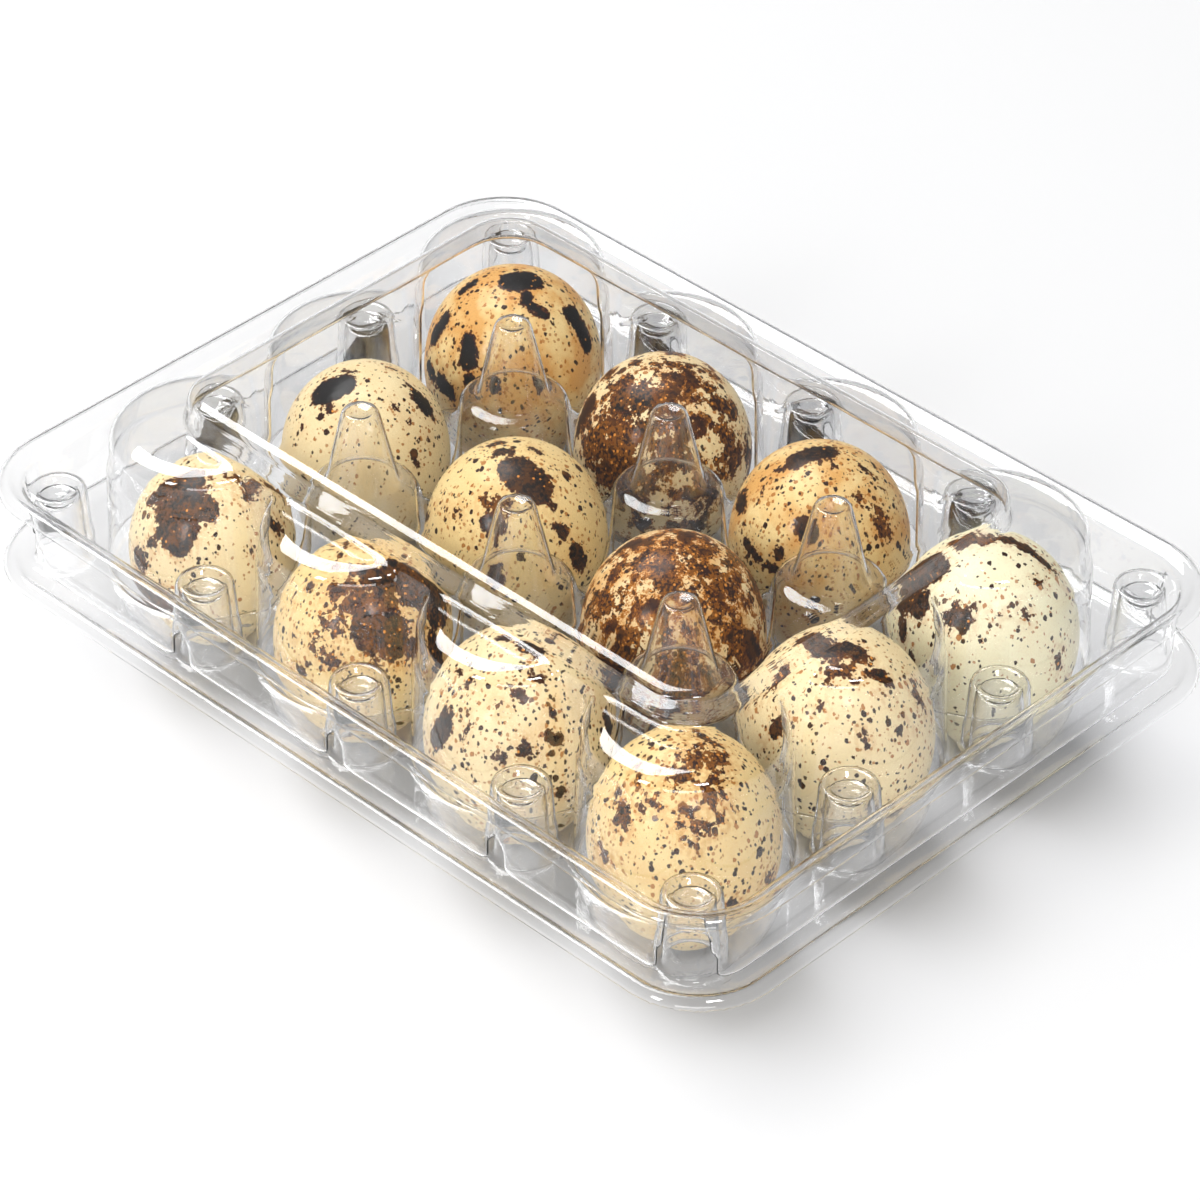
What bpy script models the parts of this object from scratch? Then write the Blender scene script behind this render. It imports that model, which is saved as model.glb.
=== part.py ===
# Clear pack of twelve speckled quail eggs: a pressed tray with a cup for each egg,
# a pressed lid that snaps down over it, and the eggs standing in the cups.
# Origin: middle of the pack, on the surface that it stands on. X runs along the long side.

import math

import bmesh
import bpy

MM = 0.001

# Cells
COLUMNS = 4
ROWS = 3
PITCH_X = 32 * MM
PITCH_Y = 31 * MM

# Sheet that both shells are pressed from, and the gap between shells that touch
SHEET = 0.6 * MM
GAP = 0.3 * MM

# Outline shared by the flanges of tray and lid
FLANGE_HALF_X = 75 * MM
FLANGE_HALF_Y = 56 * MM
FLANGE_RADIUS = 13.5 * MM

# Levels, from the feet of the cups upwards
DECK_TOP = 15 * MM
GUTTER_TOP = DECK_TOP + GAP + SHEET
LID_FLANGE_TOP = 29 * MM
CAP_TOP = 28 * MM
DOME_TOP = 39.7 * MM
CONE_TOP = 42 * MM
PANEL_TOP = 45 * MM

# Cups of the tray
CUP_FOOT_RADIUS = 7.6 * MM
CUP_FLANK_RADIUS = 11.6 * MM
CUP_MOUTH_RADIUS = 14.2 * MM
CUP_FLANK = 4 * MM
CUP_MOUTH = 13 * MM
CUP_SIDES = 18

# Hollow cones between four cups
CONE_TIP_RADIUS = 2.6 * MM
CONE_WAIST_RADIUS = 5.5 * MM
CONE_COLLAR_RADIUS = 7.4 * MM
CONE_WAIST = 29.3 * MM
CONE_COLLAR = 28.4 * MM
CONE_SIDES = 12

# Skirt under each cone, which flares into ridges between the cups
SKIRT = (
    (8.8 * MM, 26.2 * MM),
    (10 * MM, 22.6 * MM),
    (12.4 * MM, 19.6 * MM),
    (16.4 * MM, 17.6 * MM),
)
SKIRT_FOOT_RADIUS = 17 * MM

# Short posts round the edge of the tray
POST_TIP_RADIUS = 3.5 * MM
POST_FOOT_RADIUS = 4.05 * MM
POST_TOP = 26.4 * MM
POST_SIDES = 10

# Caps of the lid, one over each post
CAP_TIP_RADIUS = 4.3 * MM
CAP_FOOT_RADIUS = 5 * MM
CAP_SIDES = 12

# Wall of the lid, from its flange down to its gutter
WALL_HALF_X = 70.8 * MM
WALL_HALF_Y = 52 * MM
WALL_RADIUS = 9 * MM

# Raised panel in the middle of the lid
PANEL_HALF_X = 52.5 * MM
PANEL_HALF_Y = 35 * MM
PANEL_RADIUS = 7.5 * MM
PANEL_DRAFT = 1 * MM

# Domes of the lid over the outer cells
DOME_CROWN_RADIUS = 11.6 * MM
DOME_SHOULDER_RADIUS = 14.2 * MM
DOME_RIB_RADIUS = 14.9 * MM
DOME_FOOT_RADIUS = 15.3 * MM
DOME_CROWN = 39.3 * MM
DOME_SHOULDER = 37.4 * MM
DOME_RIB = 32.5 * MM
DOME_SIDES = 20

# Heights that close the cutting and joining shapes, clear of the sheet itself, and the
# distance by which a shape that cuts runs past the one that it cuts
BELOW_TRAY = -0.5 * MM
TRAY_ROOT = 13 * MM
BELOW_LID = 5 * MM
LID_ROOT = 10.9 * MM
ABOVE_ALL = 60 * MM
MARGIN = 1 * MM

# Points of a quarter of each round corner, and the least angle of an edge that stays sharp
CORNER_STEPS = 5
SHARP_ANGLE = 35

# Eggs: the widest diameter and the lean about x and y in degrees, by column and row
EGG_SIDES = 14
EGG_RINGS = 7
EGG_LENGTH_RATIO = 1.23
EGG_BLUNTNESS = 0.07
EGG_FOOT = 1.05 * MM
EGGS = {
    (1, 1): (24.6 * MM, 3, -2),
    (2, 1): (25.8 * MM, -2, 3),
    (3, 1): (27.1 * MM, 2, 1),
    (4, 1): (26.9 * MM, 1, -2),
    (1, 2): (25.4 * MM, -1, -3),
    (2, 2): (27 * MM, 2, 2),
    (3, 2): (26.8 * MM, -2, -2),
    (4, 2): (27.3 * MM, 2, -1),
    (1, 3): (27.2 * MM, -2, 2),
    (2, 3): (26.8 * MM, 1, 2),
    (3, 3): (26.7 * MM, -1, -2),
    (4, 3): (27.2 * MM, -2, 2),
}

# Ground colours of the shells, as linear red, green and blue
CREAM = (0.84, 0.70, 0.43)
TAN = (0.62, 0.37, 0.16)
GROUNDS = {(1, 3): TAN, (3, 3): (0.74, 0.53, 0.27), (3, 2): (0.66, 0.45, 0.20)}


def clear_scene():
    for old in list(bpy.data.objects):
        bpy.data.objects.remove(old)


def new_collection(name):
    made = bpy.data.collections.new(name)
    bpy.context.scene.collection.children.link(made)
    return made


def new_object(name, shape, collection=None):
    """Turns a bmesh into an object. In a collection, it is a helper that isn't rendered."""
    bmesh.ops.recalc_face_normals(shape, faces=shape.faces)
    mesh = bpy.data.meshes.new(name)
    shape.to_mesh(mesh)
    shape.free()
    mesh.shade_smooth()
    mesh.set_sharp_from_angle(angle=math.radians(SHARP_ANGLE))
    made = bpy.data.objects.new(name, mesh)
    (collection or bpy.context.scene.collection).objects.link(made)
    if collection:
        make_helper(made)
    return made


def make_helper(made):
    made.hide_render = True
    made.display_type = "WIRE"


def cell_centre(column, row):
    x = (column - (COLUMNS + 1) / 2) * PITCH_X
    y = (row - (ROWS + 1) / 2) * PITCH_Y
    return x, y


def cell_centres(inner=None):
    """Centres of all cells, or only of those with or without a neighbour on every side."""
    found = []
    for column in range(1, COLUMNS + 1):
        for row in range(1, ROWS + 1):
            is_inner = 1 < column < COLUMNS and 1 < row < ROWS
            if inner is None or inner == is_inner:
                found.append(cell_centre(column, row))
    return found


def crossing_centres(inner):
    """Crossings of the grid between the cells: the inner ones, or those round the edge."""
    found = []
    for i in range(COLUMNS + 1):
        for j in range(ROWS + 1):
            is_inner = 0 < i < COLUMNS and 0 < j < ROWS
            if is_inner == inner:
                found.append(((i - COLUMNS / 2) * PITCH_X, (j - ROWS / 2) * PITCH_Y))
    return found


def rounded_outline(half_x, half_y, radius):
    """Points of a rectangle with round corners, anticlockwise."""
    points = []
    corners = ((1, 1), (-1, 1), (-1, -1), (1, -1))
    for quarter, (side_x, side_y) in enumerate(corners):
        centre_x = side_x * (half_x - radius)
        centre_y = side_y * (half_y - radius)
        for step in range(CORNER_STEPS + 1):
            angle = (quarter + step / CORNER_STEPS) * math.pi / 2
            points.append((centre_x + radius * math.cos(angle), centre_y + radius * math.sin(angle)))
    return points


def block(name, half_x, half_y, radius, low, high, collection=None, draft=0):
    """Upright block with round corners, wider by the draft at its low end."""
    shape = bmesh.new()
    rings = []
    for level, spread in ((low, draft), (high, 0)):
        outline = rounded_outline(half_x + spread, half_y + spread, radius + spread)
        rings.append([shape.verts.new((x, y, level)) for x, y in outline])
    count = len(rings[0])
    for i in range(count):
        following = (i + 1) % count
        shape.faces.new((rings[0][i], rings[0][following], rings[1][following], rings[1][i]))
    shape.faces.new(rings[1])
    shape.faces.new(rings[0][::-1])
    return new_object(name, shape, collection)


def turned(name, profile, closing_level, sides, centre, collection):
    """Solid turned about an upright axis: a profile of radius and height, closed flat at a level."""
    rings = profile[1:] + [(profile[-1][0], closing_level)]
    shape = bmesh.new()
    start = shape.verts.new((centre[0], centre[1], profile[0][1]))
    end = shape.verts.new((centre[0], centre[1], closing_level))
    loops = []
    for radius, level in rings:
        loop = []
        for side in range(sides):
            angle = 2 * math.pi * (side + 0.5) / sides
            x = centre[0] + radius * math.cos(angle)
            y = centre[1] + radius * math.sin(angle)
            loop.append(shape.verts.new((x, y, level)))
        loops.append(loop)
    for side in range(sides):
        following = (side + 1) % sides
        shape.faces.new((start, loops[0][side], loops[0][following]))
        shape.faces.new((end, loops[-1][following], loops[-1][side]))
        for upper, lower in zip(loops, loops[1:]):
            shape.faces.new((upper[side], lower[side], lower[following], upper[following]))
    return new_object(name, shape, collection)


def underside(profile):
    """The lower face of the sheet that has this profile as its upper face.

    A profile starts on the axis. Its lower face lies to the right of its direction of travel,
    so it is inside a raised form and outside a sunken one.
    """
    moved = []
    for here, there in zip(profile, profile[1:]):
        along = (there[0] - here[0], there[1] - here[1])
        length = math.hypot(*along)
        shift = (along[1] / length * SHEET, -along[0] / length * SHEET)
        moved.append((here[0] + shift[0], here[1] + shift[1], along))
    corners = [(0, moved[0][1])]
    for (ax, az, a), (bx, bz, b) in zip(moved, moved[1:]):
        cross = a[0] * b[1] - a[1] * b[0]
        share = ((bx - ax) * b[1] - (bz - az) * b[0]) / cross
        corners.append((ax + a[0] * share, az + a[1] * share))
    end_x, end_z, along = moved[-1]
    corners.append((end_x + along[0], end_z + along[1]))
    return corners


def cup_profile():
    """Flat foot, round flank and an upright mouth, which cuts on upwards through the skirts."""
    return [
        (0, SHEET),
        (CUP_FOOT_RADIUS, SHEET),
        (CUP_FLANK_RADIUS, CUP_FLANK),
        (CUP_MOUTH_RADIUS, CUP_MOUTH),
        (CUP_MOUTH_RADIUS, DECK_TOP),
    ]


def cone_profile():
    """Flat tip, straight cone, collar and a skirt that flares down to the deck."""
    return [
        (0, CONE_TOP),
        (CONE_TIP_RADIUS, CONE_TOP),
        (CONE_WAIST_RADIUS, CONE_WAIST),
        (CONE_COLLAR_RADIUS, CONE_COLLAR),
        *SKIRT,
        (SKIRT_FOOT_RADIUS, DECK_TOP - SHEET),
    ]


def post_profile():
    return [(0, POST_TOP), (POST_TIP_RADIUS, POST_TOP), (POST_FOOT_RADIUS, DECK_TOP - SHEET)]


def cap_profile():
    return [(0, CAP_TOP), (CAP_TIP_RADIUS, CAP_TOP), (CAP_FOOT_RADIUS, GUTTER_TOP - SHEET)]


def dome_profile():
    return [
        (0, DOME_TOP),
        (DOME_CROWN_RADIUS, DOME_CROWN),
        (DOME_SHOULDER_RADIUS, DOME_SHOULDER),
        (DOME_RIB_RADIUS, DOME_RIB),
        (DOME_FOOT_RADIUS, GUTTER_TOP - SHEET),
    ]


def boolean(made, operation, other):
    """Adds a Boolean with an object, or with every object of a collection."""
    modifier = made.modifiers.new(f"{operation.lower()} {other.name}", "BOOLEAN")
    modifier.operation = operation
    modifier.solver = "EXACT"
    if isinstance(other, bpy.types.Collection):
        modifier.operand_type = "COLLECTION"
        modifier.collection = other
    else:
        modifier.object = other


def turned_set(name, profile, closing_level, sides, centres, collection):
    for number, centre in enumerate(centres, 1):
        turned(f"{name}_{number}", profile, closing_level, sides, centre, collection)


def tray_face(name, face, low, top, spread):
    """The space under one face of the tray: a block with posts and cones added and cups cut out."""
    raised = new_collection(f"{name}_raised")
    sunken = new_collection(f"{name}_sunken")
    cone = face(cone_profile())
    post = face(post_profile())
    turned_set(f"{name}_cone", cone, TRAY_ROOT, CONE_SIDES, crossing_centres(True), raised)
    turned_set(f"{name}_post", post, TRAY_ROOT, POST_SIDES, crossing_centres(False), raised)
    turned_set(f"{name}_cup", face(cup_profile()), ABOVE_ALL, CUP_SIDES, cell_centres(), sunken)
    made = block(
        name, FLANGE_HALF_X + spread, FLANGE_HALF_Y + spread, FLANGE_RADIUS + spread, low, top
    )
    boolean(made, "UNION", raised)
    boolean(made, "DIFFERENCE", sunken)
    return made


def lid_face(name, face, low, inward, spread):
    """The space under one face of the lid, which lies inward of its upper face by the sheet or 0."""
    raised = new_collection(f"{name}_raised")
    cap = face(cap_profile())
    dome = face(dome_profile())
    turned_set(f"{name}_cap", cap, LID_ROOT, CAP_SIDES, crossing_centres(False), raised)
    turned_set(f"{name}_dome", dome, LID_ROOT, DOME_SIDES, cell_centres(False), raised)
    block(
        f"{name}_panel", PANEL_HALF_X - inward, PANEL_HALF_Y - inward, PANEL_RADIUS - inward,
        LID_ROOT, PANEL_TOP - inward, raised, draft=PANEL_DRAFT,
    )
    gutters = new_collection(f"{name}_gutters")
    block(
        f"{name}_gutter", WALL_HALF_X + inward, WALL_HALF_Y + inward, WALL_RADIUS + inward,
        GUTTER_TOP - inward, ABOVE_ALL, gutters,
    )
    made = block(
        name, FLANGE_HALF_X + spread, FLANGE_HALF_Y + spread, FLANGE_RADIUS + spread,
        low, LID_FLANGE_TOP - inward,
    )
    boolean(made, "DIFFERENCE", gutters)
    boolean(made, "UNION", raised)
    return made


def same(profile):
    return profile


def make_tray():
    tray = tray_face("tray", same, BELOW_TRAY, DECK_TOP, 0)
    under = tray_face("tray_underside", underside, BELOW_TRAY - MARGIN, DECK_TOP - SHEET, MARGIN)
    make_helper(under)
    boolean(tray, "DIFFERENCE", under)
    return tray


def make_lid():
    lid = lid_face("lid", same, BELOW_LID, 0, 0)
    under = lid_face("lid_underside", underside, BELOW_LID - MARGIN, SHEET, MARGIN)
    make_helper(under)
    boolean(lid, "DIFFERENCE", under)
    return lid


def egg_mesh(name, width):
    """Egg of revolution about z, centred on its middle, with its blunt end up."""
    shape = bmesh.new()
    half = width * EGG_LENGTH_RATIO / 2
    foot = shape.verts.new((0, 0, -half))
    crown = shape.verts.new((0, 0, half))
    loops = []
    for ring in range(1, EGG_RINGS):
        height = -math.cos(math.pi * ring / EGG_RINGS)
        radius = width / 2 * math.sqrt(1 - height**2) * (1 + EGG_BLUNTNESS * height)
        loop = []
        for side in range(EGG_SIDES):
            angle = 2 * math.pi * side / EGG_SIDES
            loop.append(shape.verts.new((radius * math.cos(angle), radius * math.sin(angle), height * half)))
        loops.append(loop)
    for side in range(EGG_SIDES):
        following = (side + 1) % EGG_SIDES
        shape.faces.new((foot, loops[0][following], loops[0][side]))
        shape.faces.new((crown, loops[-1][side], loops[-1][following]))
        for lower, upper in zip(loops, loops[1:]):
            shape.faces.new((lower[side], lower[following], upper[following], upper[side]))
    return new_object(name, shape)


def make_egg(column, row):
    width, lean_x, lean_y = EGGS[(column, row)]
    egg = egg_mesh(f"egg_{column}_{row}", width)
    x, y = cell_centre(column, row)
    egg.location = (x, y, EGG_FOOT + width * EGG_LENGTH_RATIO / 2)
    egg.rotation_euler = (math.radians(lean_x), math.radians(lean_y), 0)
    return egg


def principled(name, colour, roughness):
    made = bpy.data.materials.new(name)
    made.use_nodes = True
    shader = made.node_tree.nodes["Principled BSDF"]
    shader.inputs["Base Color"].default_value = (*colour, 1)
    shader.inputs["Roughness"].default_value = roughness
    shader.inputs["Metallic"].default_value = 0
    return made, shader


def clear_plastic(name):
    made, shader = principled(name, (0.95, 0.97, 0.98), 0.06)
    shader.inputs["IOR"].default_value = 1.57
    shader.inputs["Transmission Weight"].default_value = 1
    return made


def eggshell(name, colour):
    made, shader = principled(name, colour, 0.28)
    shader.inputs["Coat Weight"].default_value = 0.3
    return made


def main():
    clear_scene()
    make_tray().data.materials.append(clear_plastic("tray_plastic"))
    make_lid().data.materials.append(clear_plastic("lid_plastic"))
    for column, row in EGGS:
        ground = GROUNDS.get((column, row), CREAM)
        egg = make_egg(column, row)
        egg.data.materials.append(eggshell(f"eggshell_{column}_{row}", ground))


main()
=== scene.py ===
import math

import bpy
import numpy as np
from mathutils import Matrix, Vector


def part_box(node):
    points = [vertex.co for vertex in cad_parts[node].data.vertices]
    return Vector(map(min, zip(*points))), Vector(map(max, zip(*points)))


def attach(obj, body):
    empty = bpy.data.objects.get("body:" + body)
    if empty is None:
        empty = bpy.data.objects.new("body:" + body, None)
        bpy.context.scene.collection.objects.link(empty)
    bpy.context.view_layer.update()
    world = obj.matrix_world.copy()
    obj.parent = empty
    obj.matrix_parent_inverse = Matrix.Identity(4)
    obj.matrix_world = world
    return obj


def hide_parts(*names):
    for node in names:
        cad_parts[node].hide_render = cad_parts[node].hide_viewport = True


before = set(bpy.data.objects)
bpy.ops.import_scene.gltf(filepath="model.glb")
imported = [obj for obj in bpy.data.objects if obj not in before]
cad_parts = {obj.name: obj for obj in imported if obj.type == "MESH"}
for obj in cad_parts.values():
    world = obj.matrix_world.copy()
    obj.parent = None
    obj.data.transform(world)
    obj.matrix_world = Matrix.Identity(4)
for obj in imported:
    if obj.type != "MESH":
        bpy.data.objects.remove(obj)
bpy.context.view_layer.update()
mm = 0.001

# sizes are in millimetres, here and in the tray and lid dictionaries
pack = {
    "eggs": (4, 3),
    "crossings": (5, 4),
    "pitch": (32.0, 31.0),
    "outline": (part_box("tray")[1].x / mm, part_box("tray")[1].y / mm, 13.5),
    "rimBead": (1.5, 0.9),
    "sheet": 0.25,
    "formDepth": 3.0,
    "cupHeight": 80.0,
}

# the grid that the sheets are worked out on; the margin and the rim's band are in steps
grid = {
    "step": 0.5,
    "margin": 3,
    "rimBand": 2,
    "softenings": 2,
    "projections": 2,
    "leastSlope": 0.05,
    "triangles": 92000,
}


def placed(name, data):
    made = bpy.data.objects.new(name, data)
    bpy.context.scene.collection.objects.link(made)
    return made


# distances to the pressed forms, negative inside

def outlineDistance(x, y, halfX, halfY, radius):
    # in plan, to a rectangle with round corners
    dx = np.abs(x) - (halfX - radius)
    dy = np.abs(y) - (halfY - radius)
    beyond = np.hypot(np.maximum(dx, 0), np.maximum(dy, 0))
    return beyond + np.minimum(np.maximum(dx, dy), 0) - radius


def turnedDistance(r, z, profile, closing):
    # to a solid turned about an upright axis, closed off at a height
    points = profile + [(profile[-1][0], closing)]
    nearest = np.full(r.shape, np.inf, np.float32)
    inside = np.zeros(r.shape, bool)
    for (r1, z1), (r2, z2) in zip(points, points[1:]):
        alongR = r2 - r1
        alongZ = z2 - z1
        share = ((r - r1) * alongR + (z - z1) * alongZ) / (alongR**2 + alongZ**2)
        share = np.clip(share, 0, 1)
        offset = (r - r1 - share * alongR) ** 2 + (z - z1 - share * alongZ) ** 2
        nearest = np.minimum(nearest, offset)
        if alongZ:
            inside ^= ((z1 > z) != (z2 > z)) & (r < r1 + alongR * (z - z1) / alongZ)
    return np.where(inside, -1, 1) * np.sqrt(nearest)


def beadDistance(across, z, height, radius):
    # to a round bead that runs along a line at a height
    return np.hypot(across, z - height) - radius


def nearestCentre(value, pitch, count, edge):
    # the nearest of evenly spaced centres about the middle, leaving some out at both ends
    middle = (count - 1) / 2
    number = np.clip(np.round(value / pitch + middle), edge, count - 1 - edge)
    return (number - middle) * pitch, number


def centreRadius(x, y, kind, part="all"):
    # how far in plan from the nearest egg's axis, or from the nearest crossing between four of them
    countX, countY = pack[kind]
    pitchX, pitchY = pack["pitch"]
    edge = 1 if part == "inner" else 0
    cx, i = nearestCentre(x, pitchX, countX, edge)
    cy, j = nearestCentre(y, pitchY, countY, edge)
    radius = np.hypot(x - cx, y - cy)
    if part == "outer":
        # an inner one counts as far away
        inner = (i > 0) & (i < countX - 1) & (j > 0) & (j < countY - 1)
        radius = np.where(inner, pitchX, radius)
    return radius


# cup, cone, post, cap and dome are profiles of radius and height; a span is the heights of the grid
tray = {
    "span": (-1.5, 44.5),
    "deck": 15.0,
    "lip": 13.9,
    "cup": [(0, 0.45), (7.4, 0.45), (9.6, 1.5), (11.6, 3.8), (13.2, 7.5), (14.0, 11.0), (14.25, 15.0)],
    "cupBead": (14.9, 0.6),
    "cone": [
        (0, 41.2), (1.5, 41.2), (2.0, 41.95), (2.7, 41.95),
        (5.5, 29.2), (5.9, 28.6), (7.1, 28.5), (7.8, 28.3), (8.1, 27.6), (8.8, 26.2), (10.0, 22.6),
        (12.4, 19.6), (16.4, 17.6), (17.0, 15.0),
    ],
    "post": [(0, 25.2), (2.0, 25.2), (2.5, 26.3), (3.5, 26.3), (3.9, 17.0), (4.05, 15.0)],
}


def traySpace(x, y, z):
    deck = tray["deck"]
    closing = deck - pack["formDepth"]
    outline = outlineDistance(x, y, *pack["outline"])
    rimInset, rimSize = pack["rimBead"]
    cupRadius, cupSize = tray["cupBead"]
    space = z - deck
    for form in (
        turnedDistance(centreRadius(x, y, "crossings", "inner"), z, tray["cone"], closing),
        turnedDistance(centreRadius(x, y, "crossings", "outer"), z, tray["post"], closing),
        beadDistance(centreRadius(x, y, "eggs") - cupRadius, z, deck, cupSize),
        beadDistance(outline + rimInset, z, deck, rimSize),
    ):
        space = np.minimum(space, form)
    cups = turnedDistance(centreRadius(x, y, "eggs"), z, tray["cup"], pack["cupHeight"])
    return np.maximum(np.maximum(space, -cups), outline)


lid = {
    "span": (12.5, 47.5),
    "flange": 29.0,
    "lip": 27.9,
    "gutter": 15.9,
    "wall": (70.8, 52.0, 9.0),
    "panel": (52.3, 34.8, 7.5),
    "panelTop": 44.95,
    "panelChamfer": (1.6, 0.75),
    "ledge": 39.7,
    "ledgeWidth": 0.9,
    "cap": [
        (0, 26.6), (2.3, 26.6), (3.0, 27.95), (4.3, 27.95), (4.7, 21.0), (4.7, 20.4), (5.0, 20.2),
        (5.0, 15.9),
    ],
    "dome": [
        (0, 39.7), (11.0, 39.5), (13.0, 38.9), (13.8, 38.2), (14.2, 37.4),
        (14.4, 33.0), (14.9, 32.4), (15.3, 15.9),
    ],
}


def lidSpace(x, y, z):
    closing = lid["gutter"] - pack["formDepth"]
    outline = outlineDistance(x, y, *pack["outline"])
    rimInset, rimSize = pack["rimBead"]
    panelOutline = outlineDistance(x, y, *lid["panel"])
    width, drop = lid["panelChamfer"]
    slope = (panelOutline + width) * drop / width + z - lid["panelTop"]
    chamfer = slope * width / math.hypot(width, drop)
    gutter = np.maximum(outlineDistance(x, y, *lid["wall"]), lid["gutter"] - z)
    space = np.maximum(z - lid["flange"], -gutter)
    for form in (
        turnedDistance(centreRadius(x, y, "crossings", "outer"), z, lid["cap"], closing),
        turnedDistance(centreRadius(x, y, "eggs", "outer"), z, lid["dome"], closing),
        np.maximum(np.maximum(panelOutline, z - lid["panelTop"]), chamfer),
        np.maximum(panelOutline - lid["ledgeWidth"], z - lid["ledge"]),
        beadDistance(outline + rimInset, z, lid["flange"], rimSize),
    ):
        space = np.minimum(space, form)
    return np.maximum(space, outline)


# from a field of distances to a sheet

def fieldOf(space, low, high):
    # the field on a grid over the whole pack, worked out for a quarter and mirrored
    step = grid["step"]
    margin = grid["margin"] * step
    halfX, halfY = pack["outline"][:2]
    xs = np.arange(0, halfX + margin, step, dtype=np.float32)
    ys = np.arange(0, halfY + margin, step, dtype=np.float32)
    zs = np.arange(low, high, step, dtype=np.float32)
    quarter = space(*np.meshgrid(xs, ys, zs, indexing="ij")).astype(np.float32)
    half = np.concatenate([quarter[:0:-1], quarter])
    whole = np.concatenate([half[:, :0:-1], half], axis=1)
    return whole, np.array([-xs[-1], -ys[-1], zs[0]])


def softened(values, passes):
    # rounds every edge and fold, as the drawn sheet does
    for _ in range(passes):
        for axis in range(3):
            last = values.shape[axis] - 1
            before = np.concatenate([values.take([0], axis), values.take(range(last), axis)], axis)
            after = np.concatenate([values.take(range(1, last + 1), axis), values.take([-1], axis)], axis)
            values = (before + 2 * values + after) / 4
    return values


def sample(values, places):
    # values between the grid's points; places are in steps
    top = np.array(values.shape) - 2
    base = np.clip(np.floor(places).astype(int), 0, top)
    share = places - base
    total = 0
    for corner in np.ndindex(2, 2, 2):
        weight = np.prod(np.where(corner, share, 1 - share), axis=1)
        total = total + weight * values[tuple((base + corner).T)]
    return total


def gradient(values, places):
    # the slope of the field, for each step along each axis
    slopes = []
    for axis in range(3):
        reach = np.eye(3)[axis] / 2
        slopes.append(sample(values, places + reach) - sample(values, places - reach))
    return np.stack(slopes, axis=1)


def surfaceNet(values):
    # one point in each cell that the surface crosses, and one face across each grid edge that it cuts
    inside = values < 0
    count = np.zeros(np.array(values.shape) - 1, np.int8)
    span = [slice(None, -1), slice(1, None)]
    for i, j, k in np.ndindex(2, 2, 2):
        count += inside[span[i], span[j], span[k]]
    cells = np.argwhere((count > 0) & (count < 8))
    number = np.full(count.shape, -1, np.int32)
    number[tuple(cells.T)] = np.arange(len(cells))
    total = np.zeros((len(cells), 3))
    hits = np.zeros((len(cells), 1))
    for axis in range(3):
        along = np.eye(3, dtype=int)[axis]
        for corner in np.ndindex(2, 2, 2):
            if corner[axis]:
                continue
            a = values[tuple((cells + corner).T)]
            b = values[tuple((cells + corner + along).T)]
            cut = (a < 0) != (b < 0)
            share = np.where(cut, a / np.where(cut, a - b, 1), 0)
            total += np.where(cut[:, None], np.array(corner) + share[:, None] * along, 0)
            hits += cut[:, None]
    points = cells + total / hits
    faces = []
    for axis in range(3):
        first, second = (axis + 1) % 3, (axis + 2) % 3
        low = [slice(1, -1)] * 3
        high = list(low)
        low[axis] = slice(None, -1)
        high[axis] = slice(1, None)
        a, b = inside[tuple(low)], inside[tuple(high)]
        edges = np.argwhere(a != b)
        outward = a[tuple(edges.T)]
        edges[:, first] += 1
        edges[:, second] += 1
        corners = []
        for back1, back2 in ((1, 1), (0, 1), (0, 0), (1, 0)):
            shift = np.zeros(3, int)
            shift[first] = back1
            shift[second] = back2
            corners.append(number[tuple((edges - shift).T)])
        quads = np.stack(corners, axis=1)
        quads[~outward] = quads[~outward, ::-1]
        faces.append(quads)
    return points, np.concatenate(faces)


def meshFrom(work):
    return bpy.data.meshes.new_from_object(work.evaluated_get(bpy.context.evaluated_depsgraph_get()))


def thinned(name, points, faces, triangles):
    # fewer faces, the flat stretches first
    mesh = bpy.data.meshes.new(name)
    mesh.from_pydata(points.tolist(), [], faces.tolist())
    work = placed(name, mesh)
    modifier = work.modifiers.new("thin", "DECIMATE")
    modifier.ratio = min(1, triangles / (2 * len(faces)))
    result = meshFrom(work)
    result.calc_loop_triangles()
    co = np.empty(len(result.vertices) * 3, np.float32)
    result.vertices.foreach_get("co", co)
    tri = np.empty(len(result.loop_triangles) * 3, np.int32)
    result.loop_triangles.foreach_get("vertices", tri)
    bpy.data.objects.remove(work)
    bpy.data.meshes.remove(mesh)
    bpy.data.meshes.remove(result)
    return co.reshape(-1, 3).astype(float), tri.reshape(-1, 3)


def openEdges(tri):
    # directed edges that only one face has
    edges = np.concatenate([tri[:, [0, 1]], tri[:, [1, 2]], tri[:, [2, 0]]])
    known = set(map(tuple, edges.tolist()))
    return [edge for edge in known if (edge[1], edge[0]) not in known]


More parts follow.
